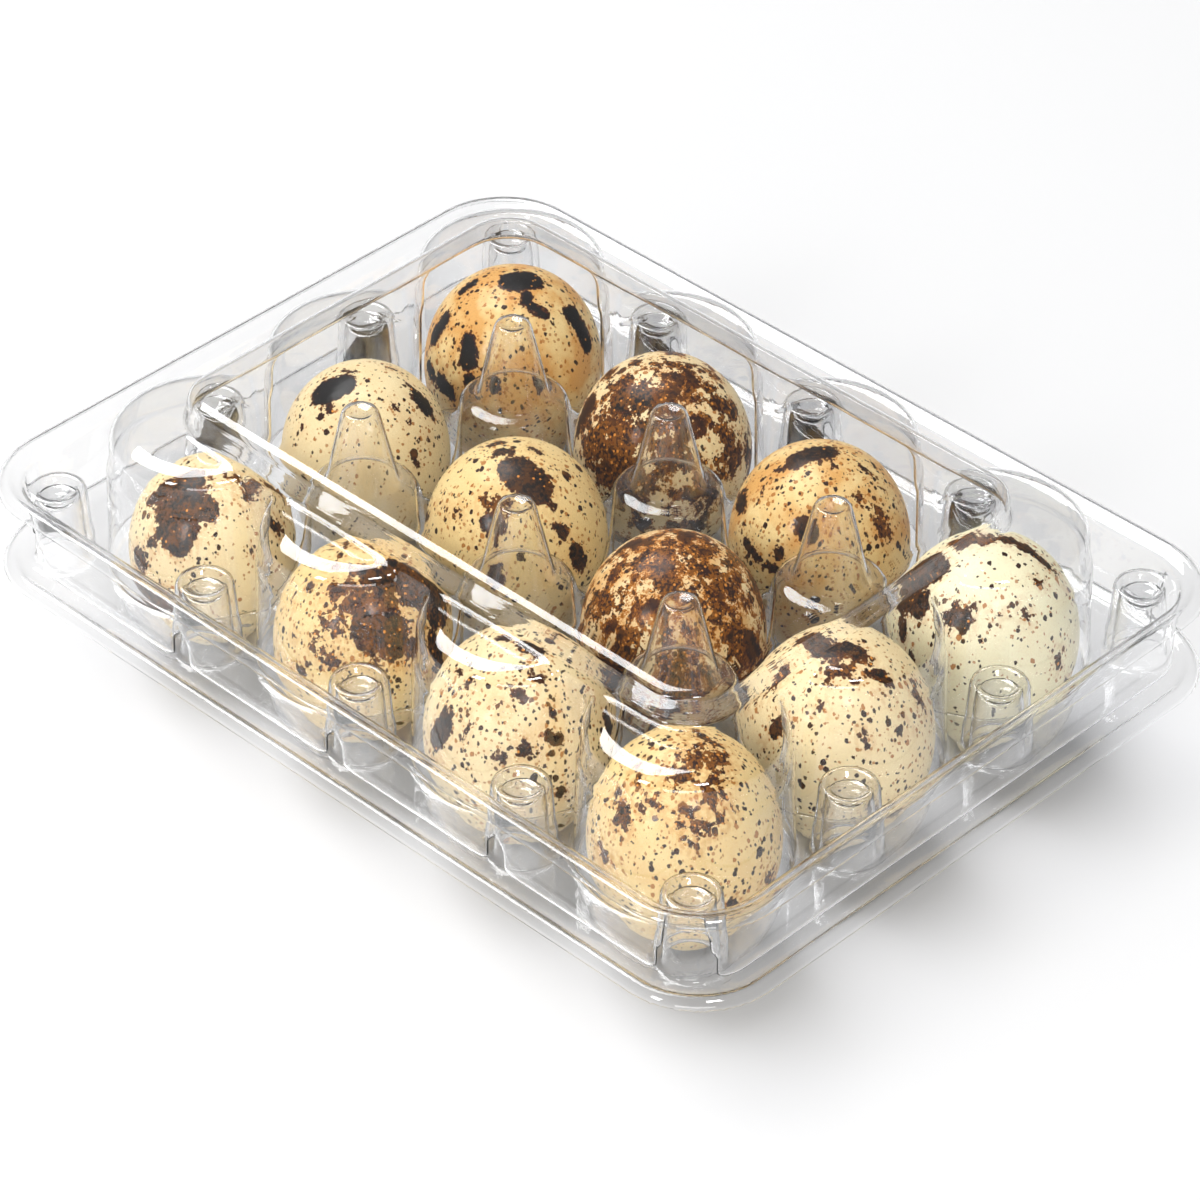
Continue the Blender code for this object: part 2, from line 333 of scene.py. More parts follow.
def pressedShell(name, space, form):
    # a sheet of even thickness under the softened surface, closed along the lip of its flange
    step = grid["step"]
    low, high = form["span"]
    values, origin = fieldOf(space, low, high)
    values = softened(values, grid["softenings"])
    points, faces = surfaceNet(values)
    places = origin + points * step
    outline = outlineDistance(places[:, 0], places[:, 1], *pack["outline"])
    cut = (outline > -grid["rimBand"] * step) & (places[:, 2] < form["lip"])
    cut |= places[:, 2] < low + grid["rimBand"] * step
    faces = faces[~cut[faces].any(axis=1)]
    used, faces = np.unique(faces, return_inverse=True)
    points, tri = thinned(name, points[used], faces.reshape(-1, 4), grid["triangles"])
    # thinning leaves the points a little off the surface, so they are moved back on to it
    for _ in range(grid["projections"]):
        slope = gradient(values, points)
        size = np.maximum((slope**2).sum(axis=1, keepdims=True), grid["leastSlope"])
        points = points - slope * sample(values, points)[:, None] / size
    normals = gradient(values, points)
    normals /= np.linalg.norm(normals, axis=1, keepdims=True)
    outer = (origin + points * step) * mm
    inner = outer - normals * pack["sheet"] * mm
    count = len(outer)
    rim = np.array([(b, a, a + count, b + count) for a, b in openEdges(tri)])
    rimTri = np.concatenate([rim[:, [0, 1, 2]], rim[:, [0, 2, 3]]])
    allTri = np.concatenate([tri, tri[:, ::-1] + count, rimTri])
    mesh = bpy.data.meshes.new(name)
    mesh.from_pydata(np.concatenate([outer, inner]).tolist(), [], allTri.tolist())
    mesh.shade_smooth()
    mesh.normals_split_custom_set_from_vertices(np.concatenate([normals, -normals]).tolist())
    print(name, "triangles", len(allTri), "rim edges", len(rim))
    return placed(name, mesh)


# materials


def newMaterial(name, values):
    material = bpy.data.materials.new(name)
    material.use_nodes = True
    shader = material.node_tree.nodes["Principled BSDF"]
    for label, value in values.items():
        shader.inputs[label].default_value = value
    return material, shader


def swapShader(material, ray, kind, colour):
    # one kind of ray meets a plain shader in place of the material's own
    nodes, links = material.node_tree.nodes, material.node_tree.links
    other = nodes.new(kind)
    other.inputs["Color"].default_value = (*colour, 1)
    rays = nodes.new("ShaderNodeLightPath")
    mix = nodes.new("ShaderNodeMixShader")
    links.new(rays.outputs[ray], mix.inputs["Fac"])
    links.new(nodes["Principled BSDF"].outputs["BSDF"], mix.inputs[1])
    links.new(other.outputs["BSDF"], mix.inputs[2])
    links.new(mix.outputs["Shader"], nodes["Material Output"].inputs["Surface"])


plastic = {
    "shadow": (0.965, 0.966, 0.97),
    "shader": {
        "Base Color": (0.992, 0.993, 0.995, 1.0),
        "Transmission Weight": 1.0,
        "Roughness": 0.012,
        "IOR": 1.46,
        "Specular IOR Level": 0.3,
    },
}


def makeClearPlastic(name):
    material, shader = newMaterial(name, plastic["shader"])
    # lamps shine straight through, a little dimmed
    swapShader(material, "Is Shadow Ray", "ShaderNodeBsdfTransparent", plastic["shadow"])
    return material


# eggs

cameraLook = {
    "azimuth": -45.51,
    "elevation": 37.74,
    "distance": 754.6,
    "lens": 156.15,
    "sensor": 36.0,
    "clip": (0.01, 50.0),
    "aim": (2.14, -0.87, 17.6),
}

egg = {
    "lengthRatio": 1.23,
    "bluntness": 0.07,
    "foot": 1.05,
    "lumps": 0.12,
    "segments": 96,
    "lumpSeed": 4.7,
    "markSeeds": (3.1, 1.7),
    "tearSeed": 2.3,
    # how much painted shade the lower part of an egg takes
    "paintedShadeShare": 0.45,
    "poreStrength": 0.12,
    "poreDepth": 0.05,
    "shader": {"Roughness": 0.5, "Specular IOR Level": 0.15, "Coat Weight": 0.16, "Coat Roughness": 0.12},
}

shades = {
    "ivory": (0.91, 0.85, 0.58),
    "paleCream": (0.90, 0.74, 0.43),
    "cream": (0.87, 0.66, 0.31),
    "tan": (0.72, 0.39, 0.12),
    # painted shade: the duller, darker colour that the lower part of each egg is blended towards
    "underside": (0.62, 0.52, 0.31),
    "freckle": (0.40, 0.14, 0.02),
    "speck": (0.025, 0.008, 0.003),
    "black": (0.004, 0.003, 0.003),
    "umber": (0.020, 0.005, 0.002),
    "chestnut": (0.085, 0.019, 0.003),
    "golden": (0.52, 0.18, 0.012),
    "glint": (0.70, 0.27, 0.04),
}

# scale in half widths of an egg, detail and roughness; the marbling's scale is each egg's own
noises = {
    "lumps": (1.6, 1.0, 0.5),
    "tan": (2.2, 3.0, 0.6),
    "stain": (15.0, 1.0, 0.5),
    "meal": (60.0, 2.0, 0.6),
    "pores": (45.0, 3.0, 0.6),
    "coarse": (7.0, 3.0, 0.65),
    "fine": (26.0, 2.0, 0.6),
    "marble": (7.0, 0.68),
}

# how far pigment is torn from its place, as scale, reach, detail and roughness
tears = ((4.5, 0.09, 1.0, 0.6), (15.0, 0.10, 2.0, 0.6), (34.0, 0.06, 1.0, 0.6))

# glints: cells in a half width, share filled beyond the mottling, and size; stain: its strength, what
# mottling adds, and its strength on a marbled egg; brownLeast and darkShare: of mottling, then of holes
marks = {
    "noStroke": 9.0,
    "strokeSwell": 1.5,
    "dotTear": 0.35,
    "scatter": 0.95,
    "holeDepth": 0.3,
    "coarseShare": 0.8,
    "rimStrength": 0.75,
    "glints": (17.0, 0.12, 0.24),
    "stain": (0.16, 0.3, 0.12),
    "stainReach": (0.12, 0.01),
    "brownLeast": (0.5, 0.3),
    "darkShare": (0.5, 0.4),
}

# cells in a half width, the egg's own amount and how much of it, size in cells, shade and strength
speckLayers = (
    (18.0, "freckles", 0.9, 0.28, "freckle", 0.75),
    (10.0, "freckles", 0.7, 0.25, "freckle", 0.9),
    (13.0, "specks", 1.0, 0.24, "speck", 0.95),
    (9.0, "specks", 1.0, 0.23, "speck", 1.0),
    (5.6, "specks", 0.8, 0.18, "speck", 1.0),
    (3.4, "spots", 1.0, 0.18, "umber", 1.0),
)

# where each effect starts and is full, and its value at both ends where that isn't 0 and 1
ranges = {
    "tan": (0.35, 0.7),
    # painted shade: from where it starts on the way down to where it is full, near the bottom
    "underside": (0.25, -0.9),
    "meal": (0.45, 0.75, 0.0, 0.16),
    "crowd": (0.3, 0.02, 0.0, 0.35),
    "stainBreak": (0.35, 0.6),
    "speckSize": (0.0, 1.0, 0.55, 1.25),
    "speckEdge": (0.0, 0.025),
    "hole": (0.42, 0.66),
    "pigmentEdge": (0.006, -0.006),
    "pigmentRim": (-0.035, 0.0),
    "golden": (0.75, 1.1),
    "chestnut": (0.95, 1.2),
    "umber": (0.6, 1.5),
    "marbleEdge": (0.0, 0.012),
    "sky": (0.62, 0.85),
}

# Marks of each egg as strokes of pigment: where each starts and ends, right and up from the middle of
# the egg as the photo's camera sees it, and its width, in half widths of the egg. A dot has one place.
eggLooks = {
    "egg_1_3": {
        "width": 27.2, "lean": (-2, 2), "ground": "cream", "tanned": 1.5, "freckles": 0.8, "specks": 0.5,
        "spots": 0.15, "mottle": 0.0,
        "dark": [
            (0.02, 0.94, 0.18, 0.95, 0.12), (0.16, 0.76, 0.16, 0.68, 0.055), (0.2, 0.64, 0.35, 0.53, 0.05),
            (-0.53, 0.84, -0.42, 0.92, 0.05), (-0.84, 0.34, -0.74, 0.5, 0.075),
            (-0.46, 0.2, -0.47, 0.06, 0.085), (0.67, 0.53, 0.8, 0.28, 0.09), (-0.93, 0.0, -0.88, -0.1, 0.05),
            (-0.8, -0.18, -0.68, -0.3, 0.06), (-0.45, -0.2, 0.065), (-0.19, -0.21, 0.06),
            (0.34, -0.18, 0.065),
        ],
        "brown": [],
    },
    "egg_2_3": {
        "width": 26.8, "lean": (1, 2), "ground": "paleCream", "tanned": 0.3, "freckles": 0.2, "specks": 0.25,
        "spots": 0.3, "mottle": 0.8, "marbling": (0.5, 2.6, 0.04),
        "dark": [
            (-0.42, 0.62, -0.22, 0.58, 0.13), (-0.35, 0.35, -0.25, 0.28, 0.08), (0.9, 0.12, 0.93, 0.0, 0.06),
        ],
        "brown": [
            (-0.45, 0.62, -0.15, 0.58, 0.2), (-0.3, 1.0, 0.15, 0.98, 0.08), (0.15, 0.98, 0.6, 0.85, 0.05),
            (0.5, 0.68, 0.75, 0.45, 0.1), (0.2, 0.7, 0.55, 0.55, 0.08), (-0.75, 0.1, -0.3, 0.1, 0.2),
            (-0.6, -0.25, -0.2, -0.2, 0.15), (0.0, 0.45, 0.05, 0.1, 0.18), (0.65, 0.2, 0.7, -0.1, 0.14),
            (0.95, 0.15, 0.95, 0.0, 0.1), (0.3, -0.1, 0.35, -0.2, 0.12), (-0.6, 0.85, -0.4, 0.78, 0.05),
        ],
    },
    "egg_3_3": {
        "width": 26.7, "lean": (-1, -2), "ground": "cream", "tanned": 1.1, "freckles": 0.9, "specks": 0.6,
        "spots": 0.3, "mottle": 0.15,
        "dark": [
            (-0.28, 0.92, 0.05, 1.02, 0.1), (0.05, 0.95, 0.13, 0.85, 0.03),
            (-0.48, 0.82, -0.42, 0.82, 0.035), (-0.86, 0.5, -0.84, 0.43, 0.075),
            (-0.23, 0.22, -0.18, 0.13, 0.07), (-0.8, 0.02, -0.7, -0.14, 0.045), (-0.48, -0.1, 0.05),
            (-0.62, -0.22, -0.52, -0.26, 0.035), (-0.84, 0.22, -0.73, 0.17, 0.02),
            (0.44, 0.84, 0.53, 0.76, 0.03), (-0.62, 0.62, -0.62, 0.55, 0.03),
        ],
        "brown": [
            (0.35, 0.5, 0.6, 0.33, 0.045), (0.6, 0.33, 0.68, 0.13, 0.07), (0.56, 0.62, 0.7, 0.57, 0.02),
        ],
    },
    "egg_4_3": {
        "width": 27.2, "lean": (-2, 2), "ground": "ivory", "tanned": 0.1, "freckles": 0.35, "specks": 0.35,
        "spots": 0.15, "mottle": 0.3,
        "dark": [
            (-0.6, 0.72, -0.85, 0.5, 0.14), (-0.85, 0.4, -0.7, 0.35, 0.1), (-0.88, 0.2, -0.87, 0.08, 0.055),
            (-0.38, 0.26, -0.3, 0.2, 0.09), (-0.3, 0.25, -0.18, 0.34, 0.03), (0.2, 1.03, 0.38, 0.94, 0.06),
            (0.38, 0.94, 0.6, 0.76, 0.05), (0.6, 0.76, 0.76, 0.56, 0.03), (0.48, 0.6, 0.53, 0.58, 0.045),
            (0.34, 0.3, 0.36, 0.22, 0.04), (0.03, 0.28, 0.13, 0.29, 0.025), (0.7, -0.2, 0.72, -0.24, 0.05),
            (0.83, -0.45, 0.86, -0.58, 0.04), (-0.5, -0.18, -0.5, -0.3, 0.04),
            (-0.8, -0.16, -0.78, -0.22, 0.04),
        ],
        "brown": [(-0.35, 0.98, -0.02, 1.06, 0.08), (0.0, 1.08, 0.25, 1.03, 0.06)],
    },
    "egg_1_2": {
        "width": 25.4, "lean": (-1, -3), "ground": "paleCream", "tanned": 0.2, "freckles": 0.35,
        "specks": 0.3, "spots": 0.12, "mottle": 0.0,
        "dark": [
            (-0.45, 0.76, -0.25, 0.84, 0.13), (-0.39, 0.6, -0.35, 0.52, 0.028),
            (0.62, 0.7, 0.72, 0.58, 0.08), (0.74, 0.56, 0.8, 0.45, 0.025), (-0.25, 1.0, -0.08, 1.0, 0.018),
            (0.35, 0.6, 0.39, 0.56, 0.025), (-0.7, 0.35, 0.034), (0.52, 0.41, 0.025), (0.63, 0.2, 0.022),
            (0.74, 0.2, 0.022), (0.61, -0.06, 0.63, -0.08, 0.03), (-0.78, 0.68, -0.74, 0.74, 0.022),
            (0.28, 1.04, 0.36, 1.02, 0.02), (0.5, 0.85, 0.54, 0.82, 0.025),
        ],
        "brown": [],
    },
    "egg_2_2": {
        "width": 27.0, "lean": (2, 2), "ground": "cream", "tanned": 0.2, "freckles": 0.55, "specks": 0.45,
        "spots": 0.15, "mottle": 0.25,
        "dark": [
            (0.03, 0.76, 0.22, 0.6, 0.15), (0.22, 0.6, 0.3, 0.52, 0.07), (-0.15, 0.97, -0.05, 0.97, 0.06),
            (-0.23, 1.06, -0.16, 1.08, 0.05), (-0.27, 0.2, -0.18, 0.16, 0.07),
            (-0.24, 0.08, -0.24, -0.02, 0.045), (-0.95, 0.36, -0.93, 0.28, 0.05),
            (-0.6, 0.34, -0.56, 0.3, 0.04), (0.36, 0.42, 0.4, 0.37, 0.04), (0.44, 0.18, 0.5, 0.1, 0.05),
            (0.64, -0.1, 0.7, -0.22, 0.07), (-0.2, -0.32, -0.2, -0.36, 0.075),
            (0.32, 0.8, 0.46, 0.78, 0.025), (0.18, 1.02, 0.28, 0.96, 0.025), (0.8, 0.6, 0.84, 0.5, 0.02),
        ],
        "brown": [
            (-0.3, 0.42, -0.15, 0.34, 0.08), (-0.85, 0.4, -0.72, 0.36, 0.025),
            (-0.72, 0.32, -0.6, 0.24, 0.03), (-0.48, 0.14, -0.4, -0.02, 0.022),
        ],
    },
    "egg_3_2": {
        "width": 26.8, "lean": (-2, -2), "ground": "paleCream", "tanned": 0.9, "freckles": 0.9,
        "specks": 0.5, "spots": 0.4, "mottle": 1.0, "marbling": (0.52, 3.6, 0.07),
        "dark": [(0.35, 0.9, 0.6, 0.75, 0.06)],
        "brown": [
            (-0.2, 0.88, 0.6, 0.8, 0.14), (-0.15, 0.62, 0.05, 0.6, 0.12), (0.1, 0.72, 0.5, 0.6, 0.16),
            (0.25, 0.4, 0.45, 0.3, 0.1), (-0.85, 0.32, -0.62, 0.42, 0.14), (-0.5, 0.72, -0.3, 0.8, 0.09),
            (-0.48, -0.12, -0.38, 0.08, 0.12), (0.62, 0.05, 0.66, -0.15, 0.13),
            (0.85, 0.45, 0.95, 0.25, 0.12), (0.0, -0.05, 0.05, -0.4, 0.16), (-0.75, -0.1, -0.72, -0.2, 0.05),
            (-0.3, 1.0, 0.3, 1.05, 0.05),
        ],
    },
    "egg_4_2": {
        "width": 27.3, "lean": (2, -1), "ground": "paleCream", "tanned": 0.15, "freckles": 0.45,
        "specks": 0.5, "spots": 0.35, "mottle": 0.35,
        "dark": [
            (-0.35, 0.98, -0.15, 0.9, 0.1), (-0.1, 0.94, 0.18, 0.85, 0.07), (0.24, 0.67, 0.26, 0.66, 0.045),
            (0.38, 0.64, 0.45, 0.58, 0.06), (-0.63, 0.1, -0.6, 0.11, 0.075),
            (-0.26, 0.33, -0.23, 0.32, 0.04), (0.22, 0.05, 0.24, -0.02, 0.03), (0.56, 0.1, 0.042),
            (-0.78, -0.09, -0.74, -0.13, 0.03), (0.6, 0.22, 0.67, 0.12, 0.018),
            (0.1, 0.57, 0.15, 0.55, 0.025), (0.48, -0.75, 0.56, -0.8, 0.07),
        ],
        "brown": [
            (0.0, 0.84, 0.2, 0.8, 0.08), (-0.12, 0.7, 0.1, 0.72, 0.07), (-0.17, 0.66, -0.13, 0.55, 0.025),
            (0.72, 0.52, 0.82, 0.3, 0.055), (-0.68, 0.52, -0.58, 0.66, 0.06),
            (-0.73, 0.42, -0.92, 0.28, 0.045), (0.36, 0.44, 0.5, 0.4, 0.018),
        ],
    },
    "egg_1_1": {
        "width": 24.6, "lean": (3, -2), "ground": "paleCream", "tanned": 0.15, "freckles": 0.3,
        "specks": 0.4, "spots": 0.15, "mottle": 0.45,
        "dark": [
            (-0.5, 0.68, -0.15, 0.85, 0.12), (-0.45, 0.45, -0.05, 0.5, 0.14),
            (-0.42, 0.25, -0.3, 0.12, 0.13), (-0.62, 0.1, -0.55, 0.2, 0.07),
            (-0.82, -0.08, -0.78, -0.14, 0.09), (-0.85, -0.5, -0.5, -0.66, 0.17),
            (0.7, 0.36, 0.82, 0.24, 0.06), (0.52, 0.0, 0.62, -0.07, 0.035),
        ],
        "brown": [
            (-0.62, 0.6, -0.5, 0.5, 0.12), (-0.1, 0.75, 0.05, 0.5, 0.09), (0.3, 0.85, 0.52, 0.72, 0.09),
            (0.42, 0.66, 0.45, 0.62, 0.06), (0.7, 0.72, 0.88, 0.58, 0.09), (-0.25, 0.15, -0.18, 0.3, 0.08),
        ],
    },
    "egg_2_1": {
        "width": 25.8, "lean": (-2, 3), "ground": "cream", "tanned": 0.3, "freckles": 0.4, "specks": 0.5,
        "spots": 0.35, "mottle": 0.5,
        "dark": [
            (0.12, 0.72, 0.3, 0.58, 0.1), (0.5, 0.68, 0.78, 0.42, 0.2), (0.05, 0.2, 0.42, 0.1, 0.13),
            (0.75, 0.0, 0.82, -0.2, 0.1), (-0.68, -0.28, -0.64, -0.32, 0.05), (-0.54, 0.59, 0.034),
            (-0.7, 0.1, -0.7, 0.08, 0.03), (-0.74, 0.44, -0.72, 0.34, 0.018),
            (-0.25, -1.0, -0.2, -1.02, 0.07),
        ],
        "brown": [
            (-0.28, 0.6, 0.1, 0.62, 0.07), (-0.1, 0.42, 0.3, 0.38, 0.16), (-0.35, 0.42, -0.28, 0.1, 0.08),
            (-0.42, -0.02, -0.3, -0.16, 0.09), (-0.3, 0.85, -0.02, 0.76, 0.07),
            (-0.2, 1.06, 0.15, 1.04, 0.05), (0.2, 0.02, 0.45, 0.0, 0.16),
        ],
    },
    "egg_3_1": {
        "width": 27.1, "lean": (2, 1), "ground": "paleCream", "tanned": 0.3, "freckles": 0.5, "specks": 0.9,
        "spots": 0.8, "mottle": 0.15,
        "dark": [
            (0.06, 0.93, 0.2, 0.88, 0.075), (-0.2, 1.0, -0.12, 1.0, 0.04), (0.15, 0.63, 0.2, 0.6, 0.045),
            (-0.02, 0.46, 0.04, 0.4, 0.035), (-0.5, 0.52, -0.46, 0.55, 0.04), (-0.6, 0.65, -0.6, 0.62, 0.04),
            (-0.72, 0.24, -0.69, 0.2, 0.045), (-0.82, 0.0, -0.74, 0.1, 0.09),
            (-0.55, 0.0, -0.48, 0.12, 0.03), (0.04, -0.1, 0.1, -0.13, 0.055),
            (-0.22, -0.19, -0.16, -0.2, 0.05), (0.3, 0.02, 0.4, -0.02, 0.05), (0.87, 0.2, 0.92, 0.08, 0.06),
            (0.34, 0.26, 0.04), (-0.28, -1.06, -0.24, -1.08, 0.075), (0.42, -0.55, 0.42, -0.58, 0.035),
            (0.38, 1.0, 0.46, 0.97, 0.03),
        ],
        "brown": [
            (-0.1, 0.5, 0.02, 0.44, 0.035), (-0.2, 0.32, -0.14, 0.32, 0.04), (-0.52, 0.22, -0.5, 0.15, 0.04),
        ],
    },
    "egg_4_1": {
        "width": 26.9, "lean": (1, -2), "ground": "cream", "tanned": 0.35, "freckles": 0.6, "specks": 0.8,
        "spots": 0.5, "mottle": 0.85,
        "dark": [
            (-0.66, 0.48, -0.6, 0.42, 0.05), (-0.63, 0.38, -0.62, 0.24, 0.085),
            (0.0, 0.06, 0.08, 0.0, 0.035), (-0.82, -0.06, -0.8, -0.12, 0.06),
            (0.84, -0.34, 0.88, -0.45, 0.06), (0.44, -0.6, 0.48, -0.6, 0.04), (-0.7, -0.2, 0.03),
            (0.12, 1.06, 0.34, 0.94, 0.05),
        ],
        "brown": [
            (0.1, 1.0, 0.36, 0.88, 0.08), (-0.02, 0.8, 0.28, 0.84, 0.12), (-0.14, 0.6, 0.06, 0.6, 0.07),
            (0.2, 0.6, 0.36, 0.62, 0.06), (0.24, 0.46, 0.34, 0.36, 0.1), (-0.02, 0.27, 0.2, 0.2, 0.08),
            (-0.48, 0.76, -0.44, 0.55, 0.045), (-0.3, 0.46, -0.28, 0.42, 0.06),
            (-0.46, 0.38, -0.44, 0.32, 0.035),
        ],
    },
}


def direction(azimuth, elevation):
    turn, rise = math.radians(azimuth), math.radians(elevation)
    return Vector((math.cos(rise) * math.cos(turn), math.cos(rise) * math.sin(turn), math.sin(rise)))


def cameraAxes():
    back = direction(cameraLook["azimuth"], cameraLook["elevation"])
    turn = math.radians(cameraLook["azimuth"])
    right = Vector((-math.sin(turn), math.cos(turn), 0))
    return right, back.cross(right), back


def seenAt(u, v):
    # the point of a unit ball, stretched to an egg, that shows so far right and up of the middle
    right, up, back = cameraAxes()
    ratio = egg["lengthRatio"]
    flat = right * u + up * v
    a = back.x**2 + back.y**2 + back.z**2 / ratio**2
    b = flat.x * back.x + flat.y * back.y + flat.z * back.z / ratio**2
    c = flat.x**2 + flat.y**2 + flat.z**2 / ratio**2 - 1
    depth = (-b + math.sqrt(max(b * b - a * c, 0))) / a
    place = flat + back * depth
    place.z /= ratio
    return place.normalized()


# node helpers

def newGroup(name, kind, inputs, outputs):
    # sockets are given by their kind, or by a number for a float with that value
    group = bpy.data.node_groups.new(name, kind)
    for label, given in inputs.items():
        isFloat = isinstance(given, float)
        socketType = "NodeSocket" + ("Float" if isFloat else given)
        socket = group.interface.new_socket(label, in_out="INPUT", socket_type=socketType)
        if isFloat:
            socket.default_value = given
    for label, given in outputs.items():
        group.interface.new_socket(label, in_out="OUTPUT", socket_type="NodeSocket" + given)
    return group, group.nodes.new("NodeGroupInput"), group.nodes.new("NodeGroupOutput")


def plug(tree, socket, value):
    # a link, or a value set on the socket
    if isinstance(value, bpy.types.NodeSocket):
        tree.links.new(value, socket)
    else:
        socket.default_value = value


def compute(tree, operation, *values):
    node = tree.nodes.new("ShaderNodeMath")
    node.operation = operation
    for socket, value in zip(node.inputs, values):
        plug(tree, socket, value)
    return node.outputs[0]


def computeVector(tree, operation, *values, scale=None):
    node = tree.nodes.new("ShaderNodeVectorMath")
    node.operation = operation
    for socket, value in zip(node.inputs, values):
        plug(tree, socket, value)
    if scale is not None:
        plug(tree, node.inputs["Scale"], scale)
    return node.outputs["Value" if operation in ("LENGTH", "DOT_PRODUCT") else "Vector"]


def remap(tree, value, low, high, toLow=0.0, toHigh=1.0, smooth=True):
    node = tree.nodes.new("ShaderNodeMapRange")
    if smooth:
        node.interpolation_type = "SMOOTHSTEP"
    for socket, given in zip(node.inputs, (value, low, high, toLow, toHigh)):
        plug(tree, socket, given)
    return node.outputs["Result"]


def noise(tree, vector, scale, detail, roughness, colour=False):
    node = tree.nodes.new("ShaderNodeTexNoise")
    labels = ("Vector", "Scale", "Detail", "Roughness")
    for label, given in zip(labels, (vector, scale, detail, roughness)):
        plug(tree, node.inputs[label], given)
    return node.outputs["Color" if colour else "Fac"]


def blend(tree, share, first, second):
    node = tree.nodes.new("ShaderNodeMix")
    node.data_type = "RGBA"
    plug(tree, node.inputs["Factor"], share)
    for label, given in (("A", first), ("B", second)):
        socket = [one for one in node.inputs if one.name == label and one.type == "RGBA"][0]
        plug(tree, socket, given if isinstance(given, bpy.types.NodeSocket) else (*given, 1))
    return [one for one in node.outputs if one.type == "RGBA"][0]


def useGroup(tree, group, **values):
    node = tree.nodes.new("ShaderNodeGroup")
    node.node_tree = group
    for label, value in values.items():
        plug(tree, node.inputs[label], value)
    return node


# groups that draw the marks

def makeRaggedGroup():
    # shifts the places that pigment is looked up at, so that its edges are torn
    inputs = {"Vector": "Vector", "Seed": 0.0}
    group, start, end = newGroup("raggedEdge", "ShaderNodeTree", inputs, {"Vector": "Vector"})
    seeded = computeVector(group, "ADD", start.outputs["Vector"], start.outputs["Seed"])
    total = start.outputs["Vector"]
    for scale, reach, detail, roughness in tears:
        colour = noise(group, seeded, scale, detail, roughness, True)
        shift = computeVector(group, "SUBTRACT", colour, (0.5, 0.5, 0.5))
        total = computeVector(group, "ADD", total, computeVector(group, "SCALE", shift, scale=reach))
    group.links.new(total, end.inputs["Vector"])
    return group


def makeStrokeGroup():
    # the distance to a stroke with round ends, or to the strokes so far where they are nearer
    inputs = {"Vector": "Vector", "From": "Vector", "To": "Vector", "Width": 0.0, "So Far": 0.0}
    group, start, end = newGroup("pigmentStroke", "ShaderNodeTree", inputs, {"Distance": "Float"})
    along = computeVector(group, "SUBTRACT", start.outputs["To"], start.outputs["From"])
    reach = computeVector(group, "SUBTRACT", start.outputs["Vector"], start.outputs["From"])
    # a dot's length is kept off zero
    length = compute(group, "ADD", computeVector(group, "DOT_PRODUCT", along, along), 1e-6)
    share = compute(group, "DIVIDE", computeVector(group, "DOT_PRODUCT", reach, along), length)
    share = compute(group, "MAXIMUM", compute(group, "MINIMUM", share, 1.0), 0.0)
    aside = computeVector(group, "SUBTRACT", reach, computeVector(group, "SCALE", along, scale=share))
    distance = compute(group, "SUBTRACT", computeVector(group, "LENGTH", aside), start.outputs["Width"])
    nearest = compute(group, "MINIMUM", distance, start.outputs["So Far"])
    group.links.new(nearest, end.inputs["Distance"])
    return group


def makeSpeckGroup():
    # round specks, each in a cell of its own, of which only a share is filled
    inputs = {"Vector": "Vector", "Scale": 0.0, "Amount": 0.0, "Size": 0.0}
    group, start, end = newGroup("specks", "ShaderNodeTree", inputs, {"Mask": "Float"})
    cells = group.nodes.new("ShaderNodeTexVoronoi")
    plug(group, cells.inputs["Vector"], start.outputs["Vector"])
    plug(group, cells.inputs["Scale"], start.outputs["Scale"])
    cells.inputs["Randomness"].default_value = marks["scatter"]
    chance = group.nodes.new("ShaderNodeSeparateColor")
    group.links.new(cells.outputs["Color"], chance.inputs[0])
    uneven = remap(group, chance.outputs[1], *ranges["speckSize"], smooth=False)
    size = compute(group, "MULTIPLY", start.outputs["Size"], uneven)
    mask = remap(group, compute(group, "SUBTRACT", size, cells.outputs["Distance"]), *ranges["speckEdge"])
    filled = compute(group, "LESS_THAN", chance.outputs[0], start.outputs["Amount"])
    group.links.new(compute(group, "MULTIPLY", mask, filled), end.inputs["Mask"])
    return group


def makePigmentGroup():
    # colour and cover of pigment by its distance inwards from an edge
    inputs = {"Vector": "Vector", "Distance": 0.0, "Mottle": 0.0, "Dark": "Color", "Holes": 0.0}
    outputs = {"Color": "Color", "Mask": "Float"}
    group, start, end = newGroup("pigment", "ShaderNodeTree", inputs, outputs)
    vector = start.outputs["Vector"]
    mottle = start.outputs["Mottle"]
    coarse = noise(group, vector, *noises["coarse"])
    fine = noise(group, vector, *noises["fine"])
    opened = compute(group, "MULTIPLY", remap(group, coarse, *ranges["hole"]), start.outputs["Holes"])
    eaten = compute(group, "MULTIPLY", opened, marks["holeDepth"])
    distance = compute(group, "ADD", start.outputs["Distance"], eaten)
    grain = compute(group, "ADD", fine, compute(group, "MULTIPLY", coarse, marks["coarseShare"]))
    warm = compute(group, "MULTIPLY", remap(group, grain, *ranges["golden"]), mottle)
    colour = blend(group, warm, start.outputs["Dark"], shades["golden"])
    middle = remap(group, compute(group, "ADD", coarse, fine), *ranges["chestnut"])
    colour = blend(group, compute(group, "MULTIPLY", middle, mottle), colour, shades["chestnut"])
    rim = compute(group, "MULTIPLY", remap(group, distance, *ranges["pigmentRim"]), marks["rimStrength"])
    colour = blend(group, rim, colour, shades["chestnut"])
    cells, share, size = marks["glints"]
    amount = compute(group, "ADD", mottle, share)
    glints = useGroup(group, speckGroup, Vector=vector, Scale=cells, Amount=amount, Size=size)
    colour = blend(group, glints.outputs["Mask"], colour, shades["glint"])
    group.links.new(colour, end.inputs["Color"])
    group.links.new(remap(group, distance, *ranges["pigmentEdge"]), end.inputs["Mask"])
    return group


